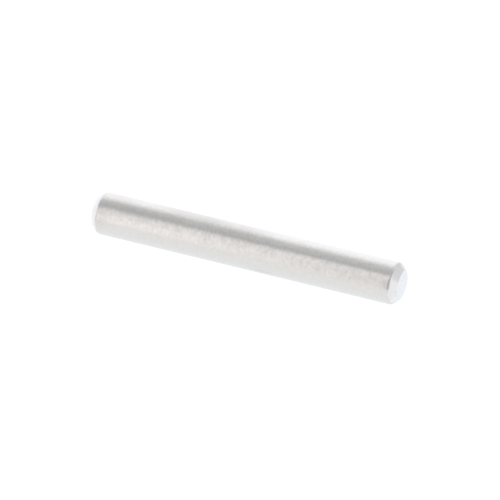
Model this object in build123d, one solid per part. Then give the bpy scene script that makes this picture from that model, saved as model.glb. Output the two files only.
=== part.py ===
from build123d import *

import os
from math import radians, tan

# A plain straight shear pin: one piece of bright steel rod, ground on its body and chamfered at both ends.
# Tumbling has then softened the two edges round the body.
# It stands on one end face. +Z runs along its axis, and the origin is the centre of the face it stands on.

# Driving dimensions, in millimetres and degrees
PIN_DIAMETER = 5.0      # the ground body, which fills the hole
PIN_LENGTH = 38.0       # over both end faces
CHAMFER_DEPTH = 0.75    # how far each chamfer comes in from the body, on the radius
CHAMFER_ANGLE = 45.0    # between a chamfer and the pin's axis
SHOULDER_ROUND = 0.6    # radius where the body meets a chamfer, which eases the pin into its hole
RIM_ROUND = 0.15        # radius where a chamfer meets its end face


def shear_pin() -> Part:
    """Spins the half section about the axis, so that both ends are cut to the same chamfer."""
    body_radius = PIN_DIAMETER / 2
    face_radius = body_radius - CHAMFER_DEPTH
    chamfer_rise = CHAMFER_DEPTH / tan(radians(CHAMFER_ANGLE))

    with BuildPart() as pin:
        with BuildSketch(Plane.XZ) as half_section:
            with BuildLine():
                Polyline(
                    (0, 0),
                    (face_radius, 0),
                    (body_radius, chamfer_rise),
                    (body_radius, PIN_LENGTH - chamfer_rise),
                    (face_radius, PIN_LENGTH),
                    (0, PIN_LENGTH),
                    close=True,
                )
            make_face()
            rim_corners = half_section.vertices().group_by(Axis.X)[1]
            fillet(rim_corners, RIM_ROUND)
            shoulder_corners = half_section.vertices().group_by(Axis.X)[-1]
            fillet(shoulder_corners, SHOULDER_ROUND)
        revolve(axis=Axis.Z)
    return pin.part


os.makedirs("parts", exist_ok=True)
export_step(shear_pin(), "parts/shear_pin.step")
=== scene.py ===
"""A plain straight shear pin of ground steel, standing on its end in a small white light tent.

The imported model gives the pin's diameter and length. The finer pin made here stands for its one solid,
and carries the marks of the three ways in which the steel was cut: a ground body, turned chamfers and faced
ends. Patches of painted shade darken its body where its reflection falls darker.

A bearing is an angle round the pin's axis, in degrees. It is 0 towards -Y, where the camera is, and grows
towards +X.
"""

import logging
import math
from dataclasses import dataclass
from enum import Enum

import bmesh
import bpy
from mathutils import Matrix, Vector


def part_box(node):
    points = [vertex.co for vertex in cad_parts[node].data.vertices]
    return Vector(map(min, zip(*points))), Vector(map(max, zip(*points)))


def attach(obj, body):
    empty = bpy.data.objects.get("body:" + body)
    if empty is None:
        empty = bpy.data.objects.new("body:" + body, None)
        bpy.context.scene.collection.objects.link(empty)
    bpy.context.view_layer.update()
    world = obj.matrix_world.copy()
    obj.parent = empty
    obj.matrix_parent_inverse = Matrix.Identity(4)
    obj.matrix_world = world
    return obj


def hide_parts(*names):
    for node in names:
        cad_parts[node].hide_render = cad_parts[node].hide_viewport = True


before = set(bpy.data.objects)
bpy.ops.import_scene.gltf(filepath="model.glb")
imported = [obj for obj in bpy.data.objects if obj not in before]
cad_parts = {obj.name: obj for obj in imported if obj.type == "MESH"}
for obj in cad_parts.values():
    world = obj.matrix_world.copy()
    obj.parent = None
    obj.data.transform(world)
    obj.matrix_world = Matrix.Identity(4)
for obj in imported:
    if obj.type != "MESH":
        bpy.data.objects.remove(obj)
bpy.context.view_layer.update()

Tree = bpy.types.NodeTree
Socket = bpy.types.NodeSocket

MM = 0.001
NODE = "shear_pin"
WHITE = (1.0, 1.0, 1.0, 1.0)
# Points of the mesh that are nearer to each other than this are one point.
SAME_PLACE_M = 1e-7
# The outline turns by this much at each corner that is rounded, because the chamfers are at 45 degrees.
CORNER_TURN_DEG = 45.0
# Nearly all that a noise texture gives lies between these two.
NOISE_LOW, NOISE_HIGH = 0.25, 0.75
# Places on the Mix node: its two colours, and the colour that it gives.
FIRST_COLOUR, SECOND_COLOUR, MIXED_COLOUR = 6, 7, 2
log = logging.getLogger(NODE)


class Zone(Enum):
    """The pin's machined surfaces. The value is the place of each one's material on the mesh."""

    BODY = 0
    CHAMFER = 1
    END_FACE = 2


def hex_to_linear(code: str, level: float = 1.0) -> tuple[float, float, float, float]:
    """Turns an sRGB hex colour into the linear colour that shaders take, by the sRGB standard's curve.

    Args:
        code: a hash and six hex digits.
        level: what the linear colour is multiplied by, for a light.

    Returns:
        Linear red, green and blue, with an alpha of 1.
    """
    channels = [int(code[start : start + 2], 16) / 255 for start in (1, 3, 5)]
    linear = [c / 12.92 if c <= 0.04045 else ((c + 0.055) / 1.055) ** 2.4 for c in channels]
    return (*(level * c for c in linear), 1.0)


def smooth_step(value: float, start: float, end: float) -> float:
    """Rises smoothly from 0 at start to 1 at end, which may be the lower of the two."""
    share = min(max((value - start) / (end - start), 0.0), 1.0)
    return share * share * (3 - 2 * share)


def add_node(
    tree: Tree,
    kind: str,
    settings: dict[str, object] | None = None,
    inputs: dict[str | int, object] | None = None,
) -> bpy.types.Node:
    """Adds one node, with its settings and its inputs.

    Args:
        tree: the material's or the world's node tree.
        kind: the node's type name, without the word that all of them start with.
        settings: properties of the node, by name.
        inputs: what each input takes, by name or place: another node's output, or a plain value.

    Returns:
        The new node.
    """
    node = tree.nodes.new("ShaderNode" + kind)
    for name, value in (settings or {}).items():
        setattr(node, name, value)
    for key, value in (inputs or {}).items():
        if isinstance(value, Socket):
            tree.links.new(value, node.inputs[key])
        else:
            node.inputs[key].default_value = value
    return node


def empty_tree(owner: bpy.types.Material | bpy.types.World) -> Tree:
    """Gives a material or a world an empty node tree.

    Args:
        owner: the material or the world.

    Returns:
        Its node tree.
    """
    owner.use_nodes = True
    owner.node_tree.nodes.clear()
    return owner.node_tree


def add_object(name: str, bm: bmesh.types.BMesh) -> bpy.types.Object:
    """Turns a finished bmesh into an object in the scene, and frees it.

    Args:
        name: what the object and its mesh are called.
        bm: the mesh, already in its place.

    Returns:
        The object, which stands at the origin.
    """
    mesh = bpy.data.meshes.new(name)
    bm.to_mesh(mesh)
    bm.free()
    made = bpy.data.objects.new(name, mesh)
    bpy.context.scene.collection.objects.link(made)
    return made


@dataclass(frozen=True)
class SteelFinish:
    """Bare bright steel. Where the cut has torn or bruised it, it is a little darker and rougher.

    Each finish says what its own cut leaves, in tool_marks. On the body, the darker and rougher steel also
    paints shade in its shaded patches.
    """

    name: str
    colour: str
    dull_colour: str
    roughness: float
    dull_roughness: float

    def tool_marks(self, tree: Tree, place: Socket) -> tuple[Socket, Socket]:
        """Draws what the cut leaves.

        Args:
            tree: the material's node tree.
            place: the point on the pin, in metres.

        Returns:
            How dull the steel is, from 0 to 1, and the height of its relief, in metres.
        """
        raise NotImplementedError

    def material(self) -> bpy.types.Material:
        """Builds the material, on Object coordinates.

        Returns:
            The material.
        """
        steel = bpy.data.materials.new(self.name)
        tree = empty_tree(steel)
        place = add_node(tree, "TexCoord").outputs["Object"]
        # On the body, the dullness also carries the painted shade of its patches.
        dull, height = self.tool_marks(tree, place)
        shades = {
            FIRST_COLOUR: hex_to_linear(self.colour),
            SECOND_COLOUR: hex_to_linear(self.dull_colour),
        }
        colour = add_node(tree, "Mix", {"data_type": "RGBA"}, {0: dull, **shades})
        rough = add_node(
            tree,
            "MapRange",
            inputs={"Value": dull, "To Min": self.roughness, "To Max": self.dull_roughness},
        )
        relief = add_node(tree, "Bump", inputs={"Height": height, "Strength": 1.0, "Distance": 1.0})
        shader = add_node(
            tree,
            "BsdfPrincipled",
            inputs={
                "Base Color": colour.outputs[MIXED_COLOUR],
                "Metallic": 1.0,
                "Roughness": rough.outputs["Result"],
                "Normal": relief.outputs["Normal"],
            },
        )
        add_node(tree, "OutputMaterial", inputs={"Surface": shader.outputs[0]})
        return steel


@dataclass(frozen=True)
class DullAndShadePatch:
    """A cloudy patch on the body, darker and rougher than the steel round it. It draws the strip of stronger
    marks, the specks, small darker patches, and patches of painted shade.
    """

    name: str
    bearing_deg: float
    height_mm: float
    half_width_mm: float
    half_length_mm: float
    strength: float

    def middle(self, body_radius_mm: float) -> Vector:
        """Gives the patch's middle.

        Args:
            body_radius_mm: how far the body's surface is from the axis.

        Returns:
            The point on that surface, in metres.
        """
        bearing = math.radians(self.bearing_deg)
        across = Vector((math.sin(bearing), -math.cos(bearing), 0)) * body_radius_mm
        return (across + Vector((0, 0, self.height_mm))) * MM


@dataclass(frozen=True)
class GroundSteel(SteelFinish):
    """Centreless-ground steel, which a tumbler has softened afterwards.

    The eye gets a soft satin reflection that runs the whole length. Short faint marks round the axis grain
    it, a few pits speckle it, and a slight waviness keeps its edges from being ruler-straight. Cloudy
    patches of painted shade darken it near both shoulders, on its upper third and on its shaded side, and a
    few small patches are darker and rougher.
    """

    name: str = "ground_steel_body"
    colour: str = "#E6E5E3"
    # Where the patches paint shade, this dull colour is the painted shade.
    dull_colour: str = "#CAC7C4"
    roughness: float = 0.24
    dull_roughness: float = 0.36
    # Grinding marks are some 0.03 mm apart. They are drawn over ten times coarser here, so that they show.
    mark_spacing_mm: float = 0.38
    mark_length_mm: float = 0.46
    # How far the noise that draws the marks is distorted, so that they waver.
    mark_waver: float = 0.4
    mark_relief_mm: float = 0.0035
    mean_dullness: float = 0.13
    mark_dullness: float = 0.15
    # The strip in which the marks show most. Its strength is added to mark_dullness.
    handled_strip: DullAndShadePatch = DullAndShadePatch("handled strip", -18, 23.0, 2.3, 45.0, 0.50)
    body_radius_mm: float = 2.5
    wave_mm: float = 7.0
    wave_relief_mm: float = 0.05
    pit_spacing_mm: float = 1.8
    pit_mm: float = 0.16
    pit_dullness: float = 0.5
    # The bearing and the height of each of the larger specks, in degrees and millimetres.
    specks: tuple[tuple[float, float], ...] = (
        (7, 4), (1, 5), (6, 14.5), (-7, 15.5), (-21, 28.5), (14, 28.5), (-21, 32.5), (14, 32.5)
    )
    speck_mm: float = 0.22
    speck_dullness: float = 0.42
    # Each has a name, its bearing and height, its half width and half length, and its strength.
    shade_and_dull_patches: tuple[DullAndShadePatch, ...] = (
        # The rows down to the shaded side are painted shade: they darken the steel near both shoulders, on
        # the upper third, and along the shaded strip and side, where its reflection falls darker.
        DullAndShadePatch("lower shoulder", 11, 1.4, 2.2, 1.4, 0.27),
        DullAndShadePatch("upper shoulder", 9, 36.6, 1.3, 1.0, 0.12),
        DullAndShadePatch("upper third", 3, 33.0, 0.9, 8.0, 0.16),
        DullAndShadePatch("shaded strip, foot", -25, 5.0, 1.5, 8.0, 0.22),
        DullAndShadePatch("shaded side, foot", -75, 3.0, 1.8, 4.5, 0.20),
        DullAndShadePatch("shaded side, lower third", -68, 11.0, 2.5, 6.0, 0.37),
        DullAndShadePatch("shaded side, middle", -52, 18.5, 2.5, 5.0, 0.30),
        DullAndShadePatch("shaded side, below the middle", -57, 14.5, 1.7, 3.2, 0.30),
        # The rows from here on only make small patches darker and rougher.
        DullAndShadePatch("darker_patch, lower third", 8, 11.0, 1.1, 1.0, 0.18),
        DullAndShadePatch("darker_patch, below the middle", 3, 14.5, 1.2, 1.1, 0.19),
        DullAndShadePatch("darker_patch, middle", 9, 21.5, 0.9, 1.6, 0.17),
        DullAndShadePatch("darker_patch, above the middle", 10, 28.5, 0.8, 0.9, 0.16),
        DullAndShadePatch("darker_patch, upper third", 14, 31.5, 0.9, 1.6, 0.16),
        DullAndShadePatch("darker_patch, lit side", 66, 21.5, 0.8, 2.2, 0.26),
    )

    def tool_marks(self, tree: Tree, place: Socket) -> tuple[Socket, Socket]:
        """Draws the grinding marks, the pits, the cloudy patches, which are partly painted shade, and the
        waviness.

        Args:
            tree: the material's node tree.
            place: the point on the pin, in metres.

        Returns:
            How dull the steel is, with the painted shade, from 0 to 1, and the height of its relief, in
            metres.
        """
        marks = self.marks(tree, place)
        return self.dullness_and_shade(tree, place, marks), self.relief(tree, place, marks)

    def marks(self, tree: Tree, place: Socket) -> Socket:
        """Draws the short marks of the grinding wheel, which lie round the axis.

        Args:
            tree: the material's node tree.
            place: the point on the pin, in metres.

        Returns:
            How high the steel stands, as a share of the marks' relief.
        """
        round_axis = 1 / (self.mark_length_mm * MM)
        along_axis = 1 / (self.mark_spacing_mm * MM)
        stretched = add_node(
            tree, "Mapping", inputs={"Vector": place, "Scale": (round_axis, round_axis, along_axis)}
        ).outputs["Vector"]
        noise = {"Vector": stretched, "Scale": 1.0, "Detail": 1.0, "Distortion": self.mark_waver}
        return add_node(tree, "TexNoise", inputs=noise).outputs["Fac"]

    def pits(self, tree: Tree, place: Socket) -> Socket:
        """Draws the pits, which lie scattered over the body.

        Args:
            tree: the material's node tree.
            place: the point on the pin, in metres.

        Returns:
            How dull a pit makes the steel, from 0 to the pits' dullness.
        """
        scattered = add_node(
            tree,
            "TexVoronoi",
            {"feature": "F1"},
            {"Vector": place, "Scale": 1 / (self.pit_spacing_mm * MM)},
        )
        return add_node(
            tree,
            "MapRange",
            {"interpolation_type": "SMOOTHSTEP"},
            {
                "Value": scattered.outputs["Distance"],
                "From Min": self.pit_mm / self.pit_spacing_mm,
                "From Max": 0.0,
                "To Max": self.pit_dullness,
            },
        ).outputs["Result"]

    def dullness_and_shade(self, tree: Tree, place: Socket, marks: Socket) -> Socket:
        """Adds up all that dulls the steel, and the patches of painted shade.

        Args:
            tree: the material's node tree.
            place: the point on the pin, in metres.
            marks: the grinding marks.

        Returns:
            How dull the steel is, with the painted shade, from 0 to 1.
        """
        marked = add_node(
            tree,
            "MapRange",
            inputs={
                "Value": marks,
                "From Min": NOISE_LOW,
                "From Max": NOISE_HIGH,
                "To Min": -0.5,
                "To Max": 0.5,
            },
        )
        handled = self.cloud(tree, place, self.handled_strip)
        contrast = add_node(tree, "Math", {"operation": "ADD"}, {0: handled, 1: self.mark_dullness})
        pitted = self.pits(tree, place)
        evenly = add_node(tree, "Math", {"operation": "ADD"}, {0: pitted, 1: self.mean_dullness})
        dull = add_node(
            tree,
            "Math",
            {"operation": "MULTIPLY_ADD"},
            {0: marked.outputs["Result"], 1: contrast.outputs[0], 2: evenly.outputs[0]},
        ).outputs[0]
        specks = (
            DullAndShadePatch("speck", bearing, height_mm, self.speck_mm, self.speck_mm, self.speck_dullness)
            for bearing, height_mm in self.specks
        )
        # The listed patches add painted shade and small darker patches, and the specks add dull specks.
        for patch in (*self.shade_and_dull_patches, *specks):
            clouded = {0: self.cloud(tree, place, patch), 1: dull}
            dull = add_node(tree, "Math", {"operation": "ADD"}, clouded).outputs[0]
        return dull

    def relief(self, tree: Tree, place: Socket, marks: Socket) -> Socket:
        """Lays the grinding marks over the body's slow waves.

        Args:
            tree: the material's node tree.
            place: the point on the pin, in metres.
            marks: the grinding marks.

        Returns:
            The height, in metres.
        """
        waves = add_node(
            tree, "TexNoise", inputs={"Vector": place, "Scale": 1 / (self.wave_mm * MM), "Detail": 1.0}
        ).outputs["Fac"]
        waviness = add_node(
            tree, "Math", {"operation": "MULTIPLY"}, {0: waves, 1: self.wave_relief_mm * MM}
        ).outputs[0]
        return add_node(
            tree,
            "Math",
            {"operation": "MULTIPLY_ADD"},
            {0: marks, 1: self.mark_relief_mm * MM, 2: waviness},
        ).outputs[0]

    def cloud(self, tree: Tree, place: Socket, patch: DullAndShadePatch) -> Socket:
        """Draws one cloudy patch of darker, rougher steel, which is painted shade in the patches that stand
        for shade.

        Args:
            tree: the material's node tree.
            place: the point on the pin, in metres.
            patch: where the patch is, and how dull.

        Returns:
            How dull the patch makes the steel, from 0 to its strength.
        """
        away = add_node(
            tree,
            "VectorMath",
            {"operation": "SUBTRACT"},
            {0: place, 1: patch.middle(self.body_radius_mm)},
        )
        across, along = 1 / (patch.half_width_mm * MM), 1 / (patch.half_length_mm * MM)
        sized = add_node(
            tree,
            "VectorMath",
            {"operation": "MULTIPLY"},
            {0: away.outputs["Vector"], 1: (across, across, along)},
        )
        share = add_node(tree, "VectorMath", {"operation": "LENGTH"}, {0: sized.outputs["Vector"]})
        return add_node(
            tree,
            "MapRange",
            {"interpolation_type": "SMOOTHSTEP", "label": patch.name},
            {
                "Value": share.outputs["Value"],
                "From Min": 1.0,
                "From Max": 0.0,
                "To Max": patch.strength,
            },
        ).outputs["Result"]


@dataclass(frozen=True)
class TurnedSteel(SteelFinish):
    """Steel that a lathe tool has cut at the end of the bar, and left unground.

    The eye gets a cleaner, cooler reflection than on the body, with very fine rings round the axis.
    """

    name: str = "turned_steel"
    colour: str = "#E1E0DF"
    dull_colour: str = "#D6D5D5"
    roughness: float = 0.22
    dull_roughness: float = 0.28
    ring_mm: float = 0.06
    ring_relief_mm: float = 0.0006
    grain_mm: float = 0.35
    # Rings and grain add up to about 1. The steel starts to dull at the first of these sums, and is dullest
    # at the second.
    dull_from: float = 0.8
    dull_to: float = 1.4

    def tool_marks(self, tree: Tree, place: Socket) -> tuple[Socket, Socket]:
        """Draws the rings of the tool's feed, which grow with the distance from the axis.

        Args:
            tree: the material's node tree.
            place: the point on the pin, in metres.

        Returns:
            How dull the steel is, from 0 to 1, and the height of its relief, in metres.
        """
        flat = add_node(tree, "Mapping", inputs={"Vector": place, "Scale": (1.0, 1.0, 0.0)})
        radius = add_node(tree, "VectorMath", {"operation": "LENGTH"}, {0: flat.outputs["Vector"]})
        rings = add_node(
            tree,
            "TexNoise",
            {"noise_dimensions": "1D"},
            {"W": radius.outputs["Value"], "Scale": 1 / (self.ring_mm * MM), "Detail": 1.0},
        )
        grain = add_node(
            tree,
            "TexNoise",
            inputs={"Vector": place, "Scale": 1 / (self.grain_mm * MM), "Detail": 2.0},
        )
        both = add_node(
            tree, "Math", {"operation": "ADD"}, {0: rings.outputs["Fac"], 1: grain.outputs["Fac"]}
        )
        dull = add_node(
            tree,
            "MapRange",
            inputs={"Value": both.outputs[0], "From Min": self.dull_from, "From Max": self.dull_to},
        )
        height = add_node(
            tree,
            "Math",
            {"operation": "MULTIPLY"},
            {0: rings.outputs["Fac"], 1: self.ring_relief_mm * MM},
        )
        return dull.outputs["Result"], height.outputs[0]


@dataclass(frozen=True)
class Bruise:
    """A place where a knock has flattened the body a little, next to the upper shoulder."""

    bearing_deg: float
    half_angle_deg: float
    reach_below_mm: float
    reach_above_mm: float
    depth_mm: float

    def depth_at(self, bearing_deg: float, below_shoulder_mm: float) -> float:
        """Tells how deep the bruise is at one point of the pin.

        Args:
            bearing_deg: the point's bearing.
            below_shoulder_mm: how far the point is below the upper shoulder.

        Returns:
            The depth, in millimetres.
        """
        aside = smooth_step(abs(bearing_deg - self.bearing_deg), self.half_angle_deg, 0)
        below = smooth_step(below_shoulder_mm, self.reach_below_mm, 0)
        above = smooth_step(below_shoulder_mm, -self.reach_above_mm, 0)
        return self.depth_mm * aside * below * above


@dataclass
class ShearPin:
    """The pin: a ground body, a chamfer at both ends, rounded edges between them, and marks of handling."""

    diameter_mm: float
    length_mm: float
    chamfer_mm: float = 0.75
    shoulder_round_mm: float = 0.60
    rim_round_mm: float = 0.15
    round_segments: int = 8
    steps_round: int = 192
    ring_spacing_mm: float = 0.5
    fine_ring_spacing_mm: float = 0.08
    # The fine rings go past the shoulder's round by this many times the roll-off's reach.
    fine_ring_reach: float = 1.5
    # The rings keep off the shoulder by this many setbacks of its round, on the chamfer and on the body.
    chamfer_keep_off: float = 0.75
    body_keep_off: float = 1.1
    face_ring_widths_mm: tuple[float, ...] = (0.02, 0.3, 0.5, 0.5)
    # A surface counts as flat, as end face or as chamfer where more than this share of its normal lies along
    # the axis. The last two also share out the rounds between the three zones.
    flat_steepness: float = 0.999
    face_steepness: float = 0.97
    chamfer_steepness: float = 0.2
    roll_off_mm: float = 0.010
    roll_off_reach_mm: float = 1.0
    bruise: Bruise = Bruise(
        bearing_deg=10, half_angle_deg=26, reach_below_mm=1.0, reach_above_mm=0.5, depth_mm=0.009
    )

    def half_section(self) -> bmesh.types.BMesh:
        """Draws the half section as one line, from the middle of the lower face to that of the upper.

        Returns:
            A bmesh of that line, in the plane of X and Z.
        """
        radius = self.diameter_mm / 2
        face_radius = radius - self.chamfer_mm
        points = (
            (0, 0),
            (face_radius, 0),
            (radius, self.chamfer_mm),
            (radius, self.length_mm - self.chamfer_mm),
            (face_radius, self.length_mm),
            (0, self.length_mm),
        )
        bm = bmesh.new()
        corners = [bm.verts.new((x * MM, 0, z * MM)) for x, z in points]
        for first, second in zip(corners, corners[1:]):
            bm.edges.new((first, second))
        return bm

    def spin(self, bm: bmesh.types.BMesh) -> None:
        """Spins the half section into a closed shell, and closes its two poles.

        Args:
            bm: the half section, which becomes the shell.
        """
        bmesh.ops.spin(
            bm,
            geom=bm.verts[:] + bm.edges[:],
            cent=(0, 0, 0),
            axis=(0, 0, 1),
            angle=2 * math.pi,
            steps=self.steps_round,
            use_merge=True,
        )
        bmesh.ops.remove_doubles(bm, verts=bm.verts, dist=SAME_PLACE_M)
        bmesh.ops.recalc_face_normals(bm, faces=bm.faces)

    def round_hoops(self, bm: bmesh.types.BMesh, hoop_radius_mm: float, round_mm: float) -> None:
        """Rounds the two hoops of edges that lie at one distance from the axis.

        Args:
            bm: the shell.
            hoop_radius_mm: how far the hoops are from the axis.
            round_mm: the radius of the round that they get.
        """
        hoops = [
            edge
            for edge in bm.edges
            if abs(edge.verts[0].co.z - edge.verts[1].co.z) < SAME_PLACE_M
            and all(abs(vert.co.xy.length - hoop_radius_mm * MM) < SAME_PLACE_M for vert in edge.verts)
        ]
        bmesh.ops.bevel(
            bm,
            geom=hoops,
            offset=self.setback_mm(round_mm) * MM,
            offset_type="OFFSET",
            segments=self.round_segments,
            profile=0.5,
            affect="EDGES",
            material=-1,
        )

    def setback_mm(self, round_mm: float) -> float:
        """Gives how far from its corner a round of this radius meets the surface."""
        return round_mm * math.tan(math.radians(CORNER_TURN_DEG / 2))

    def mark_zones(self, bm: bmesh.types.BMesh) -> None:
        """Gives each face its zone's material, and smooth shading.

        Args:
            bm: the rounded shell.
        """
        for face in bm.faces:
            face.smooth = True
            steepness = abs(face.normal.z)
            if steepness > self.face_steepness:
                face.material_index = Zone.END_FACE.value
            elif steepness > self.chamfer_steepness:
                face.material_index = Zone.CHAMFER.value

    def ring_levels(self) -> list[float]:
        """Works out where the shell is cut into rings: closely near both ends, and widely between them.

        Returns:
            Heights above the lower face, in millimetres.
        """
        rim = self.rim_round_mm
        shoulder = self.chamfer_mm
        setback = self.setback_mm(self.shoulder_round_mm)
        fine_end = shoulder + setback + self.fine_ring_reach * self.roll_off_reach_mm
        levels = []
        for start, end, spacing in (
            (rim, shoulder - self.chamfer_keep_off * setback, self.fine_ring_spacing_mm),
            (shoulder + self.body_keep_off * setback, fine_end, self.fine_ring_spacing_mm),
            (fine_end, self.length_mm / 2, self.ring_spacing_mm),
        ):
            count = math.ceil((end - start) / spacing)
            levels += [start + (end - start) * step / count for step in range(count)]
        return levels + [self.length_mm - level for level in levels]

    def cut_rings(self, bm: bmesh.types.BMesh) -> None:
        """Cuts the shell into rings, so that it shades evenly and can be worn.

        Args:
            bm: the rounded shell.
        """
        for level in self.ring_levels():
            bmesh.ops.bisect_plane(
                bm,
                geom=bm.verts[:] + bm.edges[:] + bm.faces[:],
                dist=SAME_PLACE_M,
                plane_co=(0, 0, level * MM),
                plane_no=(0, 0, 1),
            )
        for end in (-1, 1):
            flat = [face for face in bm.faces if face.normal.z * end > self.flat_steepness]
            for width_mm in self.face_ring_widths_mm:
                bmesh.ops.inset_region(bm, faces=flat, thickness=width_mm * MM, use_even_offset=True)

    def wear(self, bm: bmesh.types.BMesh) -> None:
        """Rolls the body off a little towards both shoulders, and presses in the bruise.

        The chamfer and the rim come in by as much as the shoulder does, so that no step is left on them.

        Args:
            bm: the shell, cut into rings.
        """
        face_radius = self.diameter_mm / 2 - self.chamfer_mm
        for vert in bm.verts:
            height = vert.co.z / MM
            radius = max(vert.co.xy.length / MM, face_radius)
            from_shoulder = max(min(height, self.length_mm - height) - self.chamfer_mm, 0.0)
            # The last half of a smooth step, doubled: 1 at the shoulder, and 0 where the roll-off ends.
            share = 2 * smooth_step(from_shoulder, self.roll_off_reach_mm, -self.roll_off_reach_mm)
            bearing = math.degrees(math.atan2(vert.co.x, -vert.co.y))
            inwards = self.roll_off_mm * share * share
            inwards += self.bruise.depth_at(bearing, self.length_mm - self.chamfer_mm - height)
            vert.co.xy *= (radius - inwards) / radius

    def build(self) -> bpy.types.Object:
        """Makes the pin's mesh.

        Returns:
            The pin's object, with its place in its mesh.
        """
        bm = self.half_section()
        self.spin(bm)
        self.round_hoops(bm, self.diameter_mm / 2, self.shoulder_round_mm)
        self.round_hoops(bm, self.diameter_mm / 2 - self.chamfer_mm, self.rim_round_mm)
        self.mark_zones(bm)
        self.cut_rings(bm)
        self.wear(bm)
        return add_object("ground_pin", bm)

    def dress(self, pin: bpy.types.Object) -> None:
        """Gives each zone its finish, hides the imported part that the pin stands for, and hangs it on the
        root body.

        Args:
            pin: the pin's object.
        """
        finishes = {
            Zone.BODY: GroundSteel(),
            Zone.CHAMFER: TurnedSteel(name="turned_steel_chamfer"),
            Zone.END_FACE: TurnedSteel(name="faced_steel_end", ring_mm=0.1, roughness=0.25),
        }
        for zone in Zone:
            pin.data.materials.append(finishes[zone].material())
        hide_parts(NODE)
        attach(pin, "root")


@dataclass(frozen=True)
class TentPatch:
    """One soft-edged patch of light or shade on the inside of the light tent, in degrees."""

    name: str
    bearing: float
    half_width: float
    side_fade: float
    elevation: float
    half_height: float
    edge_fade: float
    colour: str
    level: float


@dataclass(frozen=True)
class LightTent:
    """A round tent of white cloth, lit evenly from outside, with what hangs in it and shows through it."""

    cloth: str = "#FFFFFF"
    # Each has a name, its bearing, half width and side fade, its elevation, half height and edge fade, its
    # colour, and how many times as bright as that colour it is.
    patches: tuple[TentPatch, ...] = (
        TentPatch("upper cloth", 90, 130, 20, 60, 45, 15, "#FBFBFF", 1.17),
        TentPatch("shaded upper cloth", -108, 64, 16, 40, 36, 8, "#FAFBFF", 0.93),
        TentPatch("warm cloth", -47, 17, 9, 67, 7, 5, "#FFFBF4", 0.94),
        TentPatch("window side cloth", 146, 20, 8, 22, 12, 8, "#F6FBFF", 1.26),
        TentPatch("back cloth", 188, 24, 8, 18, 16, 8, "#F6FAFF", 1.22),
        TentPatch("white table", 0, 180, 15, -80, 30, 15, "#F8FAFF", 1.31),
        TentPatch("table behind", 180, 60, 20, -46, 10, 8, "#F8FAFF", 1.28),
        TentPatch("side lamp", -144, 46, 14, -18, 12, 6, "#FAFBFF", 1.27),
        TentPatch("far side lamp", 140, 29, 24, -18, 16, 8, "#F8FCFF", 1.07),
        TentPatch("shaded table", 10, 50, 20, -42, 14, 8, "#FFFCF8", 0.90),
        TentPatch("table at the pin's foot", 10, 100, 15, -64, 10, 6, "#FFFCF8", 0.95),
        TentPatch("pink table edge", -11, 14, 8, -30, 10, 5, "#FFF6F6", 1.055),
        TentPatch("warm table edge", 24, 20, 8, -26.5, 10, 4, "#FFFBFA", 1.36),
        TentPatch("flag stand", -88, 18, 12, -56, 10, 8, "#FDFCFA", 0.70),
        TentPatch("black flag", -58, 23, 14, -28, 34, 8, "#FBFCFC", 0.67),
        TentPatch("flag's double hem", -41.5, 11, 4.5, -28, 34, 8, "#FBFCFC", 0.58),
        TentPatch("flag's slack corner", -24, 7, 3.5, -40, 20, 3, "#FBFCFC", 0.78),
        TentPatch("front opening", -12, 56, 10, 14, 16, 8, "#FFFFFF", 0.60),
        TentPatch("lens hood", 22, 21, 7, -2, 13, 6, "#FFFFFF", 0.49),
        TentPatch("hood's rim", 3, 9, 5, 5, 9, 4, "#FFFFFF", 0.42),
    )

    def build(self) -> bpy.types.World:
        """Makes the world, in which each patch covers the cloth and the patches before it.

        Returns:
            The world. The camera sees it as plain white, and the steel sees the tent.
        """
        world = bpy.data.worlds.new("light_tent")
        bpy.context.scene.world = world
        tree = empty_tree(world)
        toward = add_node(tree, "TexCoord").outputs["Generated"]
        axes = add_node(tree, "SeparateXYZ", inputs={0: toward}).outputs
        front = add_node(tree, "Math", {"operation": "MULTIPLY"}, {0: axes["Y"], 1: -1.0})
        bearing = add_node(tree, "Math", {"operation": "ARCTAN2"}, {0: axes["X"], 1: front.outputs[0]})
        elevation = add_node(tree, "Math", {"operation": "ARCSINE"}, {0: axes["Z"]})
        light: tuple[float, ...] | Socket = hex_to_linear(self.cloth)
        for patch in self.patches:
            across = self.angle_from(tree, bearing.outputs[0], patch.bearing)
            up = self.angle_from(tree, elevation.outputs[0], patch.elevation)
            width = self.inside(tree, across, patch.half_width, patch.side_fade)
            height = self.inside(tree, up, patch.half_height, patch.edge_fade)
            cover = add_node(tree, "Math", {"operation": "MULTIPLY"}, {0: width, 1: height})
            colours = {FIRST_COLOUR: light, SECOND_COLOUR: hex_to_linear(patch.colour, patch.level)}
            light = add_node(
                tree, "Mix", {"data_type": "RGBA", "label": patch.name}, {0: cover.outputs[0], **colours}
            ).outputs[MIXED_COLOUR]
        tent = add_node(tree, "Background", inputs={"Color": light})
        white = add_node(tree, "Background", inputs={"Color": WHITE})
        is_camera = add_node(tree, "LightPath").outputs["Is Camera Ray"]
        both = add_node(
            tree, "MixShader", inputs={0: is_camera, 1: tent.outputs[0], 2: white.outputs[0]}
        )
        add_node(tree, "OutputWorld", inputs={"Surface": both.outputs[0]})
        return world

    def angle_from(self, tree: Tree, angle: Socket, middle_deg: float) -> Socket:
        """Measures how far a direction is from a patch's middle, whichever way round is shorter.

        Args:
            tree: the world's node tree.
            angle: the direction's bearing or elevation, in radians.
            middle_deg: the same for the patch's middle, in degrees.

        Returns:
            The angle between them, from 0 to pi.
        """
        turned = add_node(
            tree, "Math", {"operation": "SUBTRACT"}, {0: angle, 1: math.radians(middle_deg)}
        )
        wrapped = add_node(
            tree, "Math", {"operation": "WRAP"}, {0: turned.outputs[0], 1: math.pi, 2: -math.pi}
        )
        return add_node(tree, "Math", {"operation": "ABSOLUTE"}, {0: wrapped.outputs[0]}).outputs[0]

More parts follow.
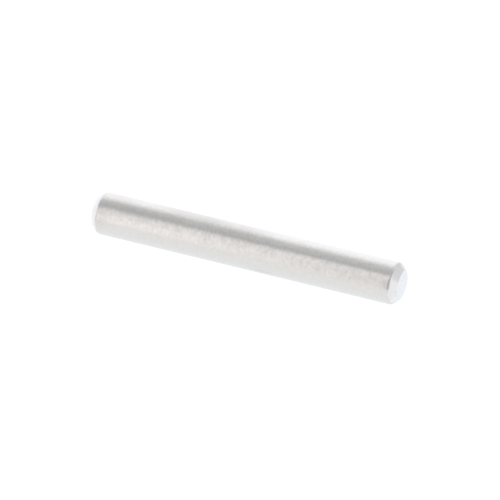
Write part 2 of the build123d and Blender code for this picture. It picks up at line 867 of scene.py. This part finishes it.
    def inside(self, tree: Tree, angle: Socket, half_deg: float, fade_deg: float) -> Socket:
        """Tells whether a direction is inside a patch, one way across it.

        Args:
            tree: the world's node tree.
            angle: how far the direction is from the patch's middle, in radians.
            half_deg: how far from its middle the patch ends.
            fade_deg: how far inside and outside that end the patch fades.

        Returns:
            1 well inside, 0 well outside, and a smooth step between them.
        """
        return add_node(
            tree,
            "MapRange",
            {"interpolation_type": "SMOOTHSTEP"},
            {
                "Value": angle,
                "From Min": math.radians(half_deg + fade_deg),
                "From Max": math.radians(half_deg - fade_deg),
            },
        ).outputs["Result"]


@dataclass(frozen=True)
class PaperFloor:
    """The sheet of white paper that the pin stands on. It is white to the camera, with a faint shadow."""

    half_width_m: float = 1.0
    colour: str = "#F2F2F2"
    shadow_share: float = 0.15
    # A little over 1, to make up for the share in which the camera sees the paper as it is lit.
    glow: float = 1.07

    def build(self) -> bpy.types.Object:
        """Makes the floor, which the steel doesn't see, because the tent goes on below it.

        Returns:
            The floor's object.
        """
        bm = bmesh.new()
        bmesh.ops.create_grid(bm, x_segments=1, y_segments=1, size=self.half_width_m)
        floor = add_object("paper_floor", bm)
        paper = bpy.data.materials.new("white_paper")
        tree = empty_tree(paper)
        lit = add_node(tree, "BsdfDiffuse", inputs={"Color": hex_to_linear(self.colour)})
        white = add_node(tree, "Emission", inputs={"Color": WHITE, "Strength": self.glow})
        is_camera = add_node(tree, "LightPath").outputs["Is Camera Ray"]
        share = add_node(
            tree, "Math", {"operation": "MULTIPLY"}, {0: is_camera, 1: 1 - self.shadow_share}
        )
        both = add_node(
            tree, "MixShader", inputs={0: share.outputs[0], 1: lit.outputs[0], 2: white.outputs[0]}
        )
        add_node(tree, "OutputMaterial", inputs={"Surface": both.outputs[0]})
        floor.data.materials.append(paper)
        floor.visible_glossy = False
        return floor


@dataclass(frozen=True)
class PortraitCamera:
    """A long-lens camera that sees the pin almost square on, and a little of its upper end."""

    tilt_deg: float = 18.6
    slope_deg: float = 13.55
    distance_mm: float = 500.0
    frame_width_mm: float = 57.50
    # How far it stands from where it would have the pin's middle in the middle of its view.
    right_mm: float = 0.2025
    up_mm: float = -0.244
    sensor_mm: float = 36.0
    # The nearest and the farthest that it sees, as multiples of its distance.
    clip_near: float = 0.1
    clip_far: float = 10.0

    def build(self, middle: Vector) -> bpy.types.Object:
        """Sets the camera up.

        Args:
            middle: the pin's middle, in metres.

        Returns:
            The camera, rolled so that the pin's axis runs to the right and a little down.
        """
        tilt = math.radians(self.tilt_deg)
        back = Vector((0, -math.cos(tilt), math.sin(tilt)))
        roll = Matrix.Rotation(math.radians(90 + self.slope_deg), 3, back)
        right = roll @ Vector((1, 0, 0))
        up = back.cross(right)
        lens = bpy.data.cameras.new("portrait_lens")
        lens.sensor_width = self.sensor_mm
        lens.lens = self.sensor_mm * self.distance_mm / self.frame_width_mm
        lens.clip_start = self.clip_near * self.distance_mm * MM
        lens.clip_end = self.clip_far * self.distance_mm * MM
        camera = bpy.data.objects.new("portrait_camera", lens)
        bpy.context.scene.collection.objects.link(camera)
        place = middle + (back * self.distance_mm + right * self.right_mm + up * self.up_mm) * MM
        turned = Matrix((right, up, back)).transposed()
        camera.matrix_world = Matrix.Translation(place) @ turned.to_4x4()
        bpy.context.scene.camera = camera
        return camera


def main() -> None:
    """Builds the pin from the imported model's size, dresses it, and sets the studio round it."""
    logging.basicConfig(level=logging.INFO, format="%(name)s: %(message)s")
    low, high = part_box(NODE)
    size = (high - low) / MM
    shear_pin = ShearPin(diameter_mm=size.x, length_mm=size.z)
    pin = shear_pin.build()
    shear_pin.dress(pin)
    log.info("%s: %d faces", pin.name, len(pin.data.polygons))
    log.info("%s: the light", LightTent().build().name)
    log.info("%s: the stage", PaperFloor().build().name)
    camera = PortraitCamera().build((low + high) / 2)
    log.info("%s: a lens of %.0f mm", camera.name, camera.data.lens)
    bpy.context.scene.view_settings.view_transform = "Standard"


if __name__ == "__main__":
    main()
